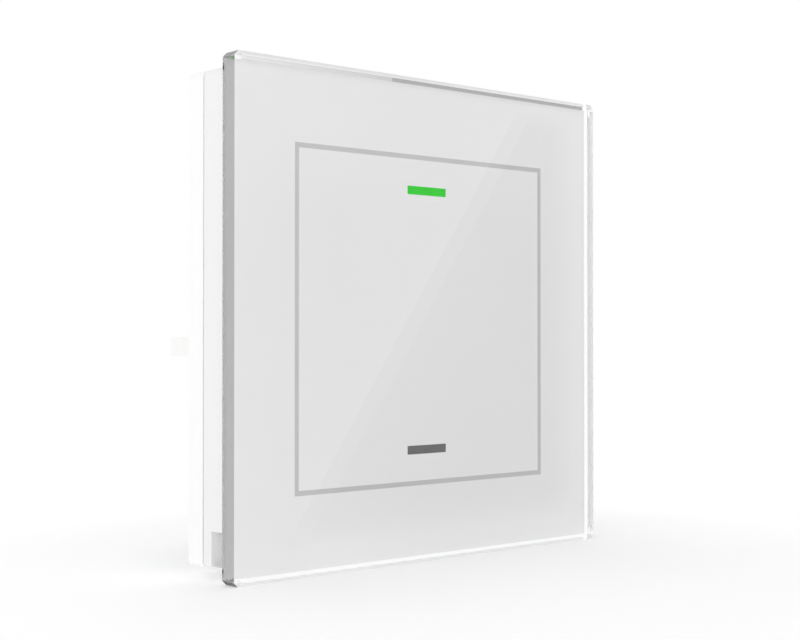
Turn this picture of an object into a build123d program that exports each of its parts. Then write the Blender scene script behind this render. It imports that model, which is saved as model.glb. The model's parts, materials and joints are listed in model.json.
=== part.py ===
from build123d import *
import os

# A flush-mounted touch light switch: a glass panel that clips on to a touch housing, which stands
# on a wall base and a steel support frame, with a power module behind that goes into the wall box.
# The front faces -Y, +Z is up, and the origin is the centre of the wall plane.

# Glass plate
plate_size = 81.0
glass_thickness = 4.0
front_bevel = 0.7
corner_cut = 0.7
rear_arris = 0.15

# Print on the back of the glass
print_inset = 0.85
print_thickness = 0.12
outline_size = 55.7
outline_line = 0.8
outline_thickness = 0.05
window_width = 8.7
window_height = 1.45
window_spacing = 43.7

# Bonding tape and panel frame
tape_thickness = 0.25
tape_inset = 1.2
tape_margin = 0.5
panel_frame_thickness = 1.5
panel_border = 13.0
panel_opening_corner = 4.0
tongue_width = 8.0
tongue_thickness = 1.6
tongue_length = 3.2
tongue_chamfer = 0.4
tongue_spacing = 40.0
tongue_inset = 6.0

# Touch housing and wall base
housing_size = 78.0
housing_depth = 11.5
housing_corner = 1.0
housing_wall = 1.6
housing_plate = 1.5
base_depth = 4.0
base_floor = 1.4
parting_gap = 0.3
parting_depth = 0.6
lip_length = 40.0
lip_thickness = 1.2
lip_height = 1.5
fit_clearance = 0.15

# Pry pocket in the left side of the touch housing
pocket_depth = 2.0
pocket_height = 5.4
pocket_reach = 3.2
pocket_floor = 0.6
pocket_wall = 1.3

# Spring clips for the tongues
clip_strip = 0.35
clip_clearance = 0.05
clip_height = 3.9
clip_flare = 0.6
clip_play = 0.1
well_play = 0.4
well_wall = 1.0
well_floor = 0.8

# Screws that hold the housing, the base and the support frame together
corner_screw_inset = 6.5
corner_screw_radius = 1.25
corner_head_radius = 2.3
corner_head_height = 1.4
corner_head_sink = 0.3
corner_boss_radius = 3.3
screw_clearance = 0.15
thread_clearance = 0.03
head_play = 0.2
driver_slot_width = 0.6
driver_slot_depth = 0.6

# Steel support frame, and the wells for the heads of the wall box screws
frame_inset = 3.5
frame_corner = 3.0
frame_thickness = 1.2
frame_clearance = 0.2
box_screw_spacing = 60.0
slot_length = 7.0
slot_width = 4.2
head_well_length = 10.0
head_well_width = 7.0
head_well_wall = 1.0

# Touch board and its screws
board_width = 44.0
board_end_space = 10.0
board_corner = 2.0
board_thickness = 1.6
board_standoff = 1.0
board_screw_inset = 3.0
board_screw_radius = 0.85
board_head_radius = 1.9
board_head_height = 1.1
board_boss_radius = 2.2
pilot_floor = 0.5
pilot_end_gap = 0.2

# Touch pads, light guides and lamps
pad_width = 16.0
pad_height = 12.0
pad_spacing = 24.0
pad_gap = 0.1
pad_clearance = 0.3
guide_gap = 0.2
guide_play = 0.15
guide_flange_width = 11.0
guide_flange_height = 4.0
guide_flange_thickness = 0.5
lamp_width = 2.0
lamp_height = 1.2
lamp_thickness = 0.4
lamp_spacing = 4.4

# Chips on the back of the touch board
chip_size = 5.0
chip_thickness = 0.9
chip_height = 8.0
small_part_length = 1.6
small_part_width = 0.8
small_part_thickness = 0.5
small_part_pitch = 3.0
small_part_columns = 4
small_part_row_gap = 14.0

# Pin header between the touch board and the power board
pin_count = 6
pin_pitch = 2.54
pin_side = 0.64
pin_hole_radius = 0.5
pin_reach = 3.4
header_height = -12.0
header_strip_width = 2.5
header_strip_thickness = 1.2
header_end = 1.2
socket_width = 4.8
socket_gap = 0.1
socket_bore = 0.8
socket_floor = 0.8

# Power module
module_width = 47.0
module_height = 50.0
module_diameter = 56.6
module_wall = 1.4
module_depth = 20.9
module_flange_width = 36.0
module_flange_reach = 2.4
module_flange_thickness = 0.8
module_clearance = 0.3
lid_thickness = 1.0
lid_play = 0.1
lid_leg_width = 5.0
lid_leg_length = 4.6
lid_leg_thickness = 0.9
lid_leg_spacing = 16.0
lid_hook = 0.6
lid_hook_height = 1.2
lid_post_radius = 1.5
lid_post_spacing = 40.0
pillar_radius = 1.9
pillar_spacing_x = 39.0
pillar_spacing_z = 20.0
power_board_depth = 1.0

# Parts on the power board
coil_width = 9.0
coil_length = 11.0
coil_clearance = 0.15
core_width = 14.0
core_length = 5.0
core_height = 9.2
core_outer_leg = 1.5
core_middle_leg = 2.8
transformer_x = -8.5
transformer_z = 15.5
storage_radius = 4.0
storage_height = 12.0
storage_groove = 0.3
storage_groove_width = 0.8
storage_groove_place = 1.6
storage_x = 4.5
storage_z = 14.5
fuse_radius = 3.6
fuse_height = 7.5
fuse_x = 14.0
fuse_z = 13.5
film_width = 11.0
film_height = 6.0
film_depth = 9.0
film_x = 10.0
film_z = -15.5
sink_width = 16.0
sink_thickness = 1.5
sink_depth = 14.0
sink_fin = 3.0
sink_x = -6.0
sink_z = -19.5
triac_width = 10.0
triac_thickness = 4.4
triac_body = 8.8
triac_lift = 3.0
triac_leg = 0.8
triac_leg_pitch = 2.54
triac_legs = 3
part_edge = 0.4

# Terminal block
pole_count = 3
pole_pitch = 7.5
block_height = 13.0
block_end_wall = 1.5
block_seat = 7.0
block_depth = 14.2
block_edge = 0.5
block_clearance = 0.3
recess_wall = 1.2
ear_span = 50.0
ear_height = 3.4
ear_top = -2.9
ear_gap = 0.3
ear_corner = 0.9

# Contact blades and forks
blade_width = 2.4
blade_thickness = 0.8
blade_height = 0.3
blade_engagement = 5.4
blade_tip = 0.2
blade_header_height = 5.0
blade_header_end = 1.5
blade_header_gap = 0.1
fork_clearance = 0.05
fork_leaf = 0.5
fork_front_wall = 0.6
fork_web = 0.6
fork_play = 0.2
entry_play = 0.3
bar_width = 3.0

# Rising clamps and their screws
clamp_width = 5.6
clamp_length = 4.1
clamp_side_wall = 0.9
clamp_floor = 1.0
clamp_roof = 1.2
clamp_gap = 3.1
clamp_travel = 2.2
clamp_play = 0.2
clamp_rest_gap = 0.1
clamp_edge = 0.3
terminal_screw_radius = 1.5
terminal_thread_clearance = 0.08
terminal_tip_gap = 0.05
terminal_shoulder = 0.7
terminal_head_radius = 2.2
terminal_head_height = 1.2
terminal_rear_wall = 2.5
wire_radius = 1.5
wire_funnel_radius = 2.2
wire_funnel_depth = 0.9

# Depths along Y, where the wall plane is zero and the front is negative
wall_plane = 0.0
base_front = wall_plane - base_depth
glass_rear = wall_plane - housing_depth
glass_front = glass_rear - glass_thickness
print_rear = glass_rear + print_thickness
tape_rear = print_rear + tape_thickness
housing_front = tape_rear + panel_frame_thickness
plate_rear = housing_front + housing_plate
board_front = plate_rear + board_standoff
board_rear = board_front + board_thickness
well_rear = housing_front + clip_height
pocket_rear = housing_front + pocket_reach
frame_front = wall_plane - frame_thickness
floor_front = frame_front - base_floor
flange_front = floor_front - module_flange_thickness
lid_front = flange_front - lid_thickness
power_board_front = wall_plane + power_board_depth
power_board_rear = power_board_front + board_thickness
strip_rear = board_rear + header_strip_thickness
socket_front = strip_rear + socket_gap
module_rear = wall_plane + module_depth
module_cavity_rear = module_rear - module_wall
block_front = module_rear - block_seat
block_rear = block_front + block_depth
recess_front = block_front - block_clearance
recess_box_front = recess_front - recess_wall
blade_header_rear = recess_box_front - blade_header_gap
blade_rear = block_front + blade_engagement
ear_front = module_rear + ear_gap

# Places across the front
cavity_size = housing_size - 2 * housing_wall
panel_opening = housing_size - 2 * panel_border
frame_size = housing_size - 2 * frame_inset
board_height = housing_size - 2 * board_end_space
lip_line = cavity_size / 2 - fit_clearance - lip_thickness / 2
corner_screw_spacing = housing_size - 2 * corner_screw_inset
tongue_rows = housing_size - 2 * tongue_inset
board_screw_columns = board_width - 2 * board_screw_inset
board_screw_rows = board_height - 2 * board_screw_inset
clip_inner = tongue_thickness / 2 + clip_clearance
clip_outer = clip_inner + clip_strip
well_width = tongue_width + 2 * well_play
well_height = 2 * (clip_outer + clip_flare + clip_play)
header_length = pin_count * pin_pitch + 2 * header_end
cavity_half = module_height / 2 - module_wall
leg_line = cavity_half - lid_play - lid_leg_thickness / 2
leg_rear = flange_front + lid_leg_length
block_width = pole_count * pole_pitch + block_end_wall
block_top = block_height / 2

# Heights and depths inside one pole of the terminal block
bar_top = blade_height + blade_thickness / 2
bar_bottom = blade_height - blade_thickness / 2
fork_top = bar_top + fork_clearance + fork_leaf
fork_bottom = bar_bottom - fork_clearance - fork_leaf
fork_front = block_front + fork_front_wall
fork_slot_rear = blade_rear + blade_tip
fork_rear = fork_slot_rear + fork_web
roof_bottom = bar_top + clamp_rest_gap
roof_top = roof_bottom + clamp_roof
floor_top = bar_bottom - clamp_gap
floor_bottom = floor_top - clamp_floor
clamp_space_top = roof_top + clamp_travel + clamp_play
clamp_space_bottom = floor_bottom - clamp_play
clamp_space_rear = block_rear - terminal_rear_wall
clamp_rear = clamp_space_rear - clamp_play
clamp_front = clamp_rear - clamp_length
clamp_space_front = clamp_front - clamp_play
clamp_centre = (clamp_front + clamp_rear) / 2
head_bottom = clamp_space_top + terminal_shoulder
head_top = head_bottom + terminal_head_height
wire_height = (bar_bottom + floor_top) / 2


# A sketch plane that faces the front, at a depth from the wall
def facing(depth):
    return Plane.XZ.offset(-depth)


# A flat outline, x to the right and z up, made thick from a front depth to a rear depth
def slab(outline, front, rear):
    return extrude(facing(rear) * outline, amount=rear - front)


# A box between two limits along each axis
def block(left, right, front, rear, bottom, top):
    centre = Pos((left + right) / 2, (front + rear) / 2, (bottom + top) / 2)
    return centre * Box(right - left, rear - front, top - bottom)


# A round bar along Z
def upright(x, y, radius, bottom, top):
    return Pos(x, y, (bottom + top) / 2) * Cylinder(radius, top - bottom)


def square(size, corner):
    return RectangleRounded(size, size, corner)


def four(spacing_x, spacing_z):
    return GridLocations(spacing_x, spacing_z, 2, 2)


def pair(spacing, upward):
    if upward:
        return GridLocations(0, spacing, 1, 2)
    return GridLocations(spacing, 0, 2, 1)


def pole_places():
    return [place.position.X for place in GridLocations(pole_pitch, 0, pole_count, 1)]


def pin_places():
    return GridLocations(pin_pitch, 0, pin_count, 1)


def window_outline(grow):
    return Rectangle(window_width + 2 * grow, window_height + 2 * grow)


def module_outline(grow):
    sides = Rectangle(module_width + 2 * grow, module_height + 2 * grow)
    return sides & Circle(module_diameter / 2 + grow)


# Glass panel

def front_glass():
    outline = Rectangle(plate_size, plate_size)
    outline = chamfer(outline.vertices(), corner_cut)
    glass = slab(outline, glass_front, glass_rear)
    glass = chamfer(glass.faces().sort_by(Axis.Y)[0].edges(), front_bevel)
    return chamfer(glass.faces().sort_by(Axis.Y)[-1].edges(), rear_arris)


def outline_print():
    inner = outline_size - 2 * outline_line
    ring = Rectangle(outline_size, outline_size) - Rectangle(inner, inner)
    return slab(ring, glass_rear, glass_rear + outline_thickness)


# The paint covers the back of the glass, behind the outline and around both windows
def back_print():
    painted = plate_size - 2 * print_inset
    paint = slab(Rectangle(painted, painted), glass_rear, print_rear)
    paint -= outline_print()
    for place in pair(window_spacing, upward=True):
        paint -= slab(place * window_outline(0), glass_rear, print_rear)
    return paint


def window(side):
    place = Pos(0, side * window_spacing / 2)
    return slab(place * window_outline(0), glass_rear, print_rear)


def bonding_tape():
    outer = square(housing_size - 2 * tape_inset, housing_corner)
    inner = square(panel_opening + 2 * tape_margin, panel_opening_corner)
    return slab(outer - inner, print_rear, tape_rear)


# A thin moulded frame behind the glass, with four tongues that push into the spring clips
def panel_frame():
    outline = square(housing_size, housing_corner) - square(panel_opening, panel_opening_corner)
    frame = slab(outline, tape_rear, housing_front)
    for place in four(tongue_spacing, tongue_rows):
        outline = place * Rectangle(tongue_width, tongue_thickness)
        tongue = slab(outline, tape_rear, housing_front + tongue_length)
        frame += chamfer(tongue.faces().sort_by(Axis.Y)[-1].edges(), tongue_chamfer)
    return frame


# Touch housing

# The pocket opens to the left and towards the glass, so that a blade can lift the panel there
def pry_pocket(grow):
    left = -housing_size / 2
    bottom = -housing_size / 2 + pocket_floor
    top = bottom + pocket_height
    rear = pocket_rear + grow
    return block(left, left + pocket_depth + grow, housing_front, rear, bottom - grow, top + grow)


# The hollow of the housing, less what stands in it: bosses, wells, collars and the pocket's walls
def housing_cavity():
    cavity = slab(square(cavity_size, housing_corner), plate_rear, base_front)
    cavity -= pry_pocket(pocket_wall)
    for place in four(corner_screw_spacing, corner_screw_spacing):
        cavity -= slab(place * Circle(corner_boss_radius), plate_rear, base_front)
    well = Rectangle(well_width + 2 * well_wall, well_height + 2 * well_wall)
    for place in four(tongue_spacing, tongue_rows):
        cavity -= slab(place * well, plate_rear, well_rear + well_floor)
    collar_width = head_well_width + 2 * head_well_wall
    collar = SlotOverall(head_well_length + 2 * head_well_wall, collar_width)
    for place in pair(box_screw_spacing, upward=False):
        cavity -= slab(place * collar, plate_rear, base_front)
    for place in four(board_screw_columns, board_screw_rows):
        cavity -= slab(place * Circle(board_boss_radius), plate_rear, board_front)
    return cavity


# A shadow line runs round the joint between the housing and the wall base
def shadow_line():
    inner = square(housing_size - 2 * parting_depth, housing_corner)
    return slab(square(housing_size, housing_corner) - inner, base_front - parting_gap, base_front)


def touch_housing():
    housing = slab(square(housing_size, housing_corner), housing_front, base_front)
    housing -= housing_cavity()
    housing -= shadow_line()
    housing -= pry_pocket(0)
    head_seat = housing_front + corner_head_sink + corner_head_height
    for place in four(corner_screw_spacing, corner_screw_spacing):
        shank = place * Circle(corner_screw_radius + screw_clearance)
        housing -= slab(shank, housing_front, base_front)
        head = place * Circle(corner_head_radius + head_play)
        housing -= slab(head, housing_front, head_seat)
    for place in four(tongue_spacing, tongue_rows):
        well = place * Rectangle(well_width, well_height)
        housing -= slab(well, housing_front, well_rear)
    for place in pair(box_screw_spacing, upward=False):
        well = place * SlotOverall(head_well_length, head_well_width)
        housing -= slab(well, housing_front, base_front)
    for place in four(board_screw_columns, board_screw_rows):
        pilot = place * Circle(board_screw_radius + thread_clearance)
        housing -= slab(pilot, housing_front + pilot_floor, board_front)
    for place in pair(window_spacing, upward=True):
        housing -= slab(place * window_outline(guide_play), housing_front, plate_rear)
    for place in pair(pad_spacing, upward=True):
        opening = place * Rectangle(pad_width + 2 * pad_clearance, pad_height + 2 * pad_clearance)
        housing -= slab(opening, housing_front, plate_rear)
    return housing


# Each clip is a strip of spring steel folded to a U, with flared lips that lead the tongue in
def retaining_clips():
    bend = housing_front + clip_flare
    outline = make_face(
        Polyline(
            (housing_front, clip_inner + clip_flare),
            (bend, clip_inner),
            (well_rear - clip_strip, clip_inner),
            (well_rear - clip_strip, -clip_inner),
            (bend, -clip_inner),
            (housing_front, -clip_inner - clip_flare),
            (housing_front, -clip_outer - clip_flare),
            (bend, -clip_outer),
            (well_rear, -clip_outer),
            (well_rear, clip_outer),
            (bend, clip_outer),
            (housing_front, clip_outer + clip_flare),
            close=True,
        )
    )
    clip = extrude(Plane.YZ * outline, amount=tongue_width / 2, both=True)
    places = [Pos(spot.position.X, 0, spot.position.Y) for spot in four(tongue_spacing, tongue_rows)]
    return Compound([place * clip for place in places])


def light_guide(side):
    place = Pos(0, side * window_spacing / 2)
    nose = slab(place * window_outline(0), print_rear + guide_gap, plate_rear)
    flange_outline = place * Rectangle(guide_flange_width, guide_flange_height)
    return nose + slab(flange_outline, plate_rear, plate_rear + guide_flange_thickness)


def touch_pad(side):
    place = Pos(0, side * pad_spacing / 2)
    return slab(place * Rectangle(pad_width, pad_height), print_rear + pad_gap, board_front)


def lamps(side):
    row = Pos(0, side * window_spacing / 2)
    outline = Rectangle(lamp_width, lamp_height)
    places = [row * place for place in pair(lamp_spacing, upward=False)]
    return Compound([slab(place * outline, board_front - lamp_thickness, board_front) for place in places])


def header_row(place):
    return Pos(0, header_height) * place


def touch_board():
    board = slab(RectangleRounded(board_width, board_height, board_corner), board_front, board_rear)
    for place in four(board_screw_columns, board_screw_rows):
        hole = place * Circle(board_screw_radius + screw_clearance)
        board -= slab(hole, board_front, board_rear)
    for place in pin_places():
        board -= slab(header_row(place) * Circle(pin_hole_radius), board_front, board_rear)
    return board


def board_screws():
    screws = []
    tip = housing_front + pilot_floor + pilot_end_gap
    for place in four(board_screw_columns, board_screw_rows):
        screw = slab(place * Circle(board_screw_radius), tip, board_rear)
        head_rear = board_rear + board_head_height
        screw += slab(place * Circle(board_head_radius), board_rear, head_rear)
        slot = place * Rectangle(2 * board_head_radius, driver_slot_width)
        screw -= slab(slot, head_rear - driver_slot_depth, head_rear)
        screws.append(screw)
    return Compound(screws)


def touch_chip():
    outline = Pos(0, chip_height) * Rectangle(chip_size, chip_size)
    chip = slab(outline, board_rear, board_rear + chip_thickness)
    return chamfer(chip.faces().sort_by(Axis.Y)[-1].edges(), part_edge / 2)


def chip_capacitors():
    outline = Rectangle(small_part_length, small_part_width)
    places = GridLocations(small_part_pitch, small_part_row_gap, small_part_columns, 2)
    rows = [Pos(0, chip_height) * place for place in places]
    rear = board_rear + small_part_thickness
    return Compound([slab(place * outline, board_rear, rear) for place in rows])


def header_pins():
    rear = socket_front + pin_reach
    outline = Rectangle(pin_side, pin_side)
    return Compound([slab(header_row(place) * outline, board_front, rear) for place in pin_places()])


def header_strip():
    outline = Pos(0, header_height) * Rectangle(header_length, header_strip_width)
    strip = slab(outline, board_rear, strip_rear)
    for place in pin_places():
        strip -= slab(header_row(place) * Rectangle(pin_side, pin_side), board_rear, strip_rear)
    return strip


# Wall base and support frame

def wall_base():
    base = slab(square(housing_size, housing_corner), base_front, wall_plane)
    tray = slab(square(cavity_size, housing_corner), base_front, floor_front)
    for place in four(corner_screw_spacing, corner_screw_spacing):
        tray -= slab(place * Circle(corner_boss_radius), base_front, floor_front)
    base -= tray
    recess = square(frame_size + 2 * frame_clearance, frame_corner)
    base -= slab(recess, frame_front, wall_plane)
    base -= slab(module_outline(module_clearance), floor_front, frame_front)
    for place in four(corner_screw_spacing, corner_screw_spacing):
        hole = place * Circle(corner_screw_radius + screw_clearance)
        base -= slab(hole, base_front, frame_front)
    for place in pair(box_screw_spacing, upward=False):
        well = place * SlotOverall(head_well_length, head_well_width)
        base -= slab(well, floor_front, frame_front)

    # Four lips stand inside the walls of the housing and centre it
    for place in pair(2 * lip_line, upward=True):
        lip = place * Rectangle(lip_length, lip_thickness)
        base += slab(lip, base_front - lip_height, floor_front)
    for place in pair(2 * lip_line, upward=False):
        lip = place * Rectangle(lip_thickness, lip_length)
        base += slab(lip, base_front - lip_height, floor_front)
    return base


def support_frame():
    frame = slab(square(frame_size, frame_corner), frame_front, wall_plane)
    frame -= slab(module_outline(module_clearance), frame_front, wall_plane)
    for place in four(corner_screw_spacing, corner_screw_spacing):
        thread = place * Circle(corner_screw_radius + thread_clearance)
        frame -= slab(thread, frame_front, wall_plane)
    for place in pair(box_screw_spacing, upward=False):
        frame -= slab(place * SlotOverall(slot_length, slot_width), frame_front, wall_plane)
    return frame


def housing_screws():
    screws = []
    head_front = housing_front + corner_head_sink
    head_rear = head_front + corner_head_height
    for place in four(corner_screw_spacing, corner_screw_spacing):
        screw = slab(place * Circle(corner_head_radius), head_front, head_rear)
        screw += slab(place * Circle(corner_screw_radius), head_rear, wall_plane)
        slot = place * Rectangle(2 * corner_head_radius, driver_slot_width)
        screw -= slab(slot, head_front, head_front + driver_slot_depth)
        screws.append(screw)
    return Compound(screws)


# Power module

def recess_outline(grow):
    width = block_width + 2 * (block_clearance + grow)
    return Rectangle(width, block_height + 2 * (block_clearance + grow))


# The flange rests on the floor of the wall base, above and below the opening
def flange():
    outline = Rectangle(module_flange_width, module_height + 2 * module_flange_reach)
    return slab(outline & Circle(module_diameter / 2), flange_front, floor_front)


def leg_places():
    return four(lid_leg_spacing, 2 * leg_line)


def module_housing():
    housing = slab(module_outline(0), flange_front, module_rear)
    housing += flange()
    cavity = slab(module_outline(-module_wall), flange_front, module_cavity_rear)
    cavity -= slab(recess_outline(recess_wall), recess_box_front, module_cavity_rear)
    for place in four(pillar_spacing_x, pillar_spacing_z):
        cavity -= slab(place * Circle(pillar_radius), power_board_rear, module_cavity_rear)
    housing -= cavity
    housing -= slab(recess_outline(0), recess_front, module_rear)
    for x in pole_places():
        slot = Pos(x, blade_height) * Rectangle(blade_width, blade_thickness)
        housing -= slab(slot, recess_box_front, recess_front)
    catch_width = lid_leg_width + 2 * lid_play
    catch_front = leg_rear - lid_hook_height - lid_play
    for place in four(lid_leg_spacing, 2 * (cavity_half + module_wall / 2)):
        catch = place * Rectangle(catch_width, module_wall)
        housing -= slab(catch, catch_front, leg_rear + lid_play)
    return housing


# The lid snaps in with four hooked legs, and two posts hold the power board down
def module_lid():
    lid = slab(module_outline(-lid_play), lid_front, flange_front)
    for place in leg_places():
        leg = place * Rectangle(lid_leg_width, lid_leg_thickness)
        lid += slab(leg, flange_front, leg_rear)
    for side in (-1, 1):
        hook_line = side * (cavity_half - lid_play + lid_hook / 2)
        for place in pair(lid_leg_spacing, upward=False):
            hook = Pos(0, hook_line) * place * Rectangle(lid_leg_width, lid_hook)
            lid += slab(hook, leg_rear - lid_hook_height, leg_rear)
    for place in pair(lid_post_spacing, upward=False):
        lid += slab(place * Circle(lid_post_radius), flange_front, power_board_front)
    width = header_length + 2 * lid_play
    opening = Pos(0, header_height) * Rectangle(width, socket_width + 2 * lid_play)
    lid -= slab(opening, lid_front, flange_front)
    return lid


def header_socket():
    outline = Pos(0, header_height) * Rectangle(header_length, socket_width)
    socket = slab(outline, socket_front, power_board_front)
    for place in pin_places():
        bore = header_row(place) * Rectangle(socket_bore, socket_bore)
        socket -= slab(bore, socket_front, power_board_front - socket_floor)
    return socket


def power_board():
    board = slab(module_outline(-module_wall - block_clearance), power_board_front, power_board_rear)
    for place in leg_places():
        notch = place * Rectangle(lid_leg_width + 2 * module_clearance, 2 * module_wall)
        board -= slab(notch, power_board_front, power_board_rear)
    return board


# The winding sits round the middle leg of the core and stands out of it above and below
def transformer_coil():
    outline = Pos(transformer_x, transformer_z) * RectangleRounded(coil_width, coil_length, part_edge)
    front = power_board_rear + core_outer_leg + coil_clearance
    rear = power_board_rear + core_height - core_outer_leg - coil_clearance
    coil = slab(outline, front, rear)
    hole = Pos(transformer_x, transformer_z) * Rectangle(coil_width, core_length + 2 * coil_clearance)
    half = core_middle_leg / 2 + coil_clearance
    middle = power_board_rear + core_height / 2
    return coil - slab(hole, middle - half, middle + half)


def transformer_core():
    place = Pos(transformer_x, transformer_z)
    rear = power_board_rear + core_height
    core = slab(place * Rectangle(core_width, core_length), power_board_rear, rear)
    core = chamfer(core.faces().sort_by(Axis.Y)[-1].edges(), part_edge)
    window = place * Rectangle(coil_width + 2 * coil_clearance, core_length)
    middle = power_board_rear + core_height / 2
    half = core_middle_leg / 2
    core -= slab(window, power_board_rear + core_outer_leg, middle - half)
    return core - slab(window, middle + half, rear - core_outer_leg)


# An upright can with the rolled groove near its foot
def storage_capacitor():
    place = Pos(storage_x, storage_z)
    rear = power_board_rear + storage_height
    can = slab(place * Circle(storage_radius), power_board_rear, rear)
    can = fillet(can.faces().sort_by(Axis.Y)[-1].edges(), part_edge)
    groove = place * (Circle(storage_radius) - Circle(storage_radius - storage_groove))
    groove_front = power_board_rear + storage_groove_place
    return can - slab(groove, groove_front, groove_front + storage_groove_width)


def fuse():
    can = slab(Pos(fuse_x, fuse_z) * Circle(fuse_radius), power_board_rear, power_board_rear + fuse_height)
    return fillet(can.faces().sort_by(Axis.Y)[-1].edges(), part_edge)


def film_capacitor():
    outline = Pos(film_x, film_z) * Rectangle(film_width, film_height)
    body = slab(outline, power_board_rear, power_board_rear + film_depth)
    return fillet(body.faces().sort_by(Axis.Y)[-1].edges(), part_edge)


# A flat plate with a fin turned down at each end
def heat_sink():
    outline = Pos(sink_x, sink_z) * Rectangle(sink_width, sink_thickness)
    sink = slab(outline, power_board_rear, power_board_rear + sink_depth)
    for side in (-1, 1):
        x = sink_x + side * (sink_width - sink_thickness) / 2
        fin = Pos(x, sink_z + sink_fin / 2) * Rectangle(sink_thickness, sink_fin)
        sink += slab(fin, power_board_rear, power_board_rear + sink_depth)
    return sink


def triac():
    z = sink_z + sink_thickness / 2 + triac_thickness / 2
    front = power_board_rear + triac_lift
    body = slab(Pos(sink_x, z) * Rectangle(triac_width, triac_thickness), front, front + triac_body)
    for place in GridLocations(triac_leg_pitch, 0, triac_legs, 1):
        leg = Pos(sink_x, z) * place * Rectangle(triac_leg, triac_leg)
        body += slab(leg, power_board_rear, front)
    return body


def blade_header():
    width = pole_count * pole_pitch + blade_header_end
    outline = Pos(0, blade_height) * Rectangle(width, blade_header_height)
    header = slab(outline, power_board_rear, blade_header_rear)
    for x in pole_places():
        slot = Pos(x, blade_height) * Rectangle(blade_width, blade_thickness)
        header -= slab(slot, power_board_rear, blade_header_rear)
    return header


def contact_blades():
    outline = Rectangle(blade_width, blade_thickness)
    places = [Pos(x, blade_height) for x in pole_places()]
    return Compound([slab(place * outline, power_board_rear, blade_rear) for place in places])


# Terminal block

# A flat ear at each end of the block, with rounded outer corners, to pull the block off by
def ear(side):
    inner = side * block_width / 2
    outer = side * ear_span / 2
    left = min(inner, outer)
    right = max(inner, outer)
    bottom = ear_top - ear_height
    tab = block(left, right, ear_front, block_rear, bottom, ear_top)
    tip = tab.faces().sort_by(Axis.X)[-1 if side > 0 else 0]
    rear_edges = tip.edges().group_by(Axis.Y)[-1]
    return fillet(rear_edges, ear_corner)


def terminal_block():
    half = block_width / 2
    body = block(-half, half, block_front, block_rear, -block_top, block_top)
    body = chamfer(body.faces().sort_by(Axis.Y)[-1].edges(), block_edge)
    body += ear(-1)
    body += ear(1)
    head_hole = terminal_head_radius + head_play
    shank_hole = terminal_screw_radius + terminal_thread_clearance
    for x in pole_places():
        entry_half = blade_width / 2 + entry_play
        bar_half = bar_width / 2 + fork_play
        clamp_half = clamp_width / 2 + clamp_play
        body -= block(x - entry_half, x + entry_half, block_front, fork_front,
                      bar_bottom - entry_play, bar_top + entry_play)
        body -= block(x - bar_half, x + bar_half, fork_front, clamp_space_front,
                      fork_bottom - fork_play, fork_top + fork_play)
        body -= block(x - clamp_half, x + clamp_half, clamp_space_front, clamp_space_rear,
                      clamp_space_bottom, clamp_space_top)
        body -= upright(x, clamp_centre, shank_hole, clamp_space_top, head_bottom)
        body -= upright(x, clamp_centre, head_hole, head_bottom, block_top)
        body -= slab(Pos(x, wire_height) * Circle(wire_radius), clamp_space_rear, block_rear)
        funnel = loft(
            [
                facing(block_rear) * Pos(x, wire_height) * Circle(wire_funnel_radius),
                facing(block_rear - wire_funnel_depth) * Pos(x, wire_height) * Circle(wire_radius),
            ]
        )
        body -= funnel
    return body


# Each fork grips a blade between two leaves, and its bar runs on through the clamp
def contact_forks():
    forks = []
    for x in pole_places():
        half = bar_width / 2
        fork = block(x - half, x + half, fork_front, fork_rear, fork_bottom, fork_top)
        fork -= block(x - half, x + half, fork_front, fork_slot_rear,
                      bar_bottom - fork_clearance, bar_top + fork_clearance)
        fork += block(x - half, x + half, fork_rear, clamp_rear, bar_bottom, bar_top)
        forks.append(fork)
    return Compound(forks)


# A square steel ring round the contact bar, drawn up by its screw to grip the wire
def clamp(x):
    half = clamp_width / 2
    inner = half - clamp_side_wall
    ring = block(x - half, x + half, clamp_front, clamp_rear, floor_bottom, roof_top)
    ring = chamfer(ring.edges().filter_by(Axis.Y), clamp_edge)
    ring -= block(x - inner, x + inner, clamp_front, clamp_rear, floor_top, roof_bottom)
    hole = terminal_screw_radius + terminal_thread_clearance
    return ring - upright(x, clamp_centre, hole, roof_bottom, roof_top)


def terminal_screw(x):
    tip = bar_top + terminal_tip_gap
    screw = upright(x, clamp_centre, terminal_screw_radius, tip, head_bottom)
    screw += upright(x, clamp_centre, terminal_head_radius, head_bottom, head_top)
    slot_bottom = head_top - driver_slot_depth
    slot_front = clamp_centre - driver_slot_width / 2
    slot_rear = clamp_centre + driver_slot_width / 2
    radius = terminal_head_radius
    return screw - block(x - radius, x + radius, slot_front, slot_rear, slot_bottom, head_top)


nodes = {
    "front_glass": front_glass(),
    "back_print": back_print(),
    "outline_print": outline_print(),
    "upper_window": window(1),
    "lower_window": window(-1),
    "bonding_tape": bonding_tape(),
    "panel_frame": panel_frame(),
    "touch_housing": touch_housing(),
    "retaining_clips": retaining_clips(),
    "upper_light_guide": light_guide(1),
    "lower_light_guide": light_guide(-1),
    "upper_touch_pad": touch_pad(1),
    "lower_touch_pad": touch_pad(-1),
    "upper_lamps": lamps(1),
    "lower_lamps": lamps(-1),
    "touch_board": touch_board(),
    "board_screws": board_screws(),
    "touch_chip": touch_chip(),
    "chip_capacitors": chip_capacitors(),
    "header_pins": header_pins(),
    "header_strip": header_strip(),
    "wall_base": wall_base(),
    "support_frame": support_frame(),
    "housing_screws": housing_screws(),
    "module_housing": module_housing(),
    "module_lid": module_lid(),
    "header_socket": header_socket(),
    "power_board": power_board(),
    "transformer_coil": transformer_coil(),
    "transformer_core": transformer_core(),
    "storage_capacitor": storage_capacitor(),
    "fuse": fuse(),
    "film_capacitor": film_capacitor(),
    "heat_sink": heat_sink(),
    "triac": triac(),
    "blade_header": blade_header(),
    "contact_blades": contact_blades(),
    "terminal_block": terminal_block(),
    "contact_forks": contact_forks(),
}
pole_names = ("neutral", "live", "load")
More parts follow.
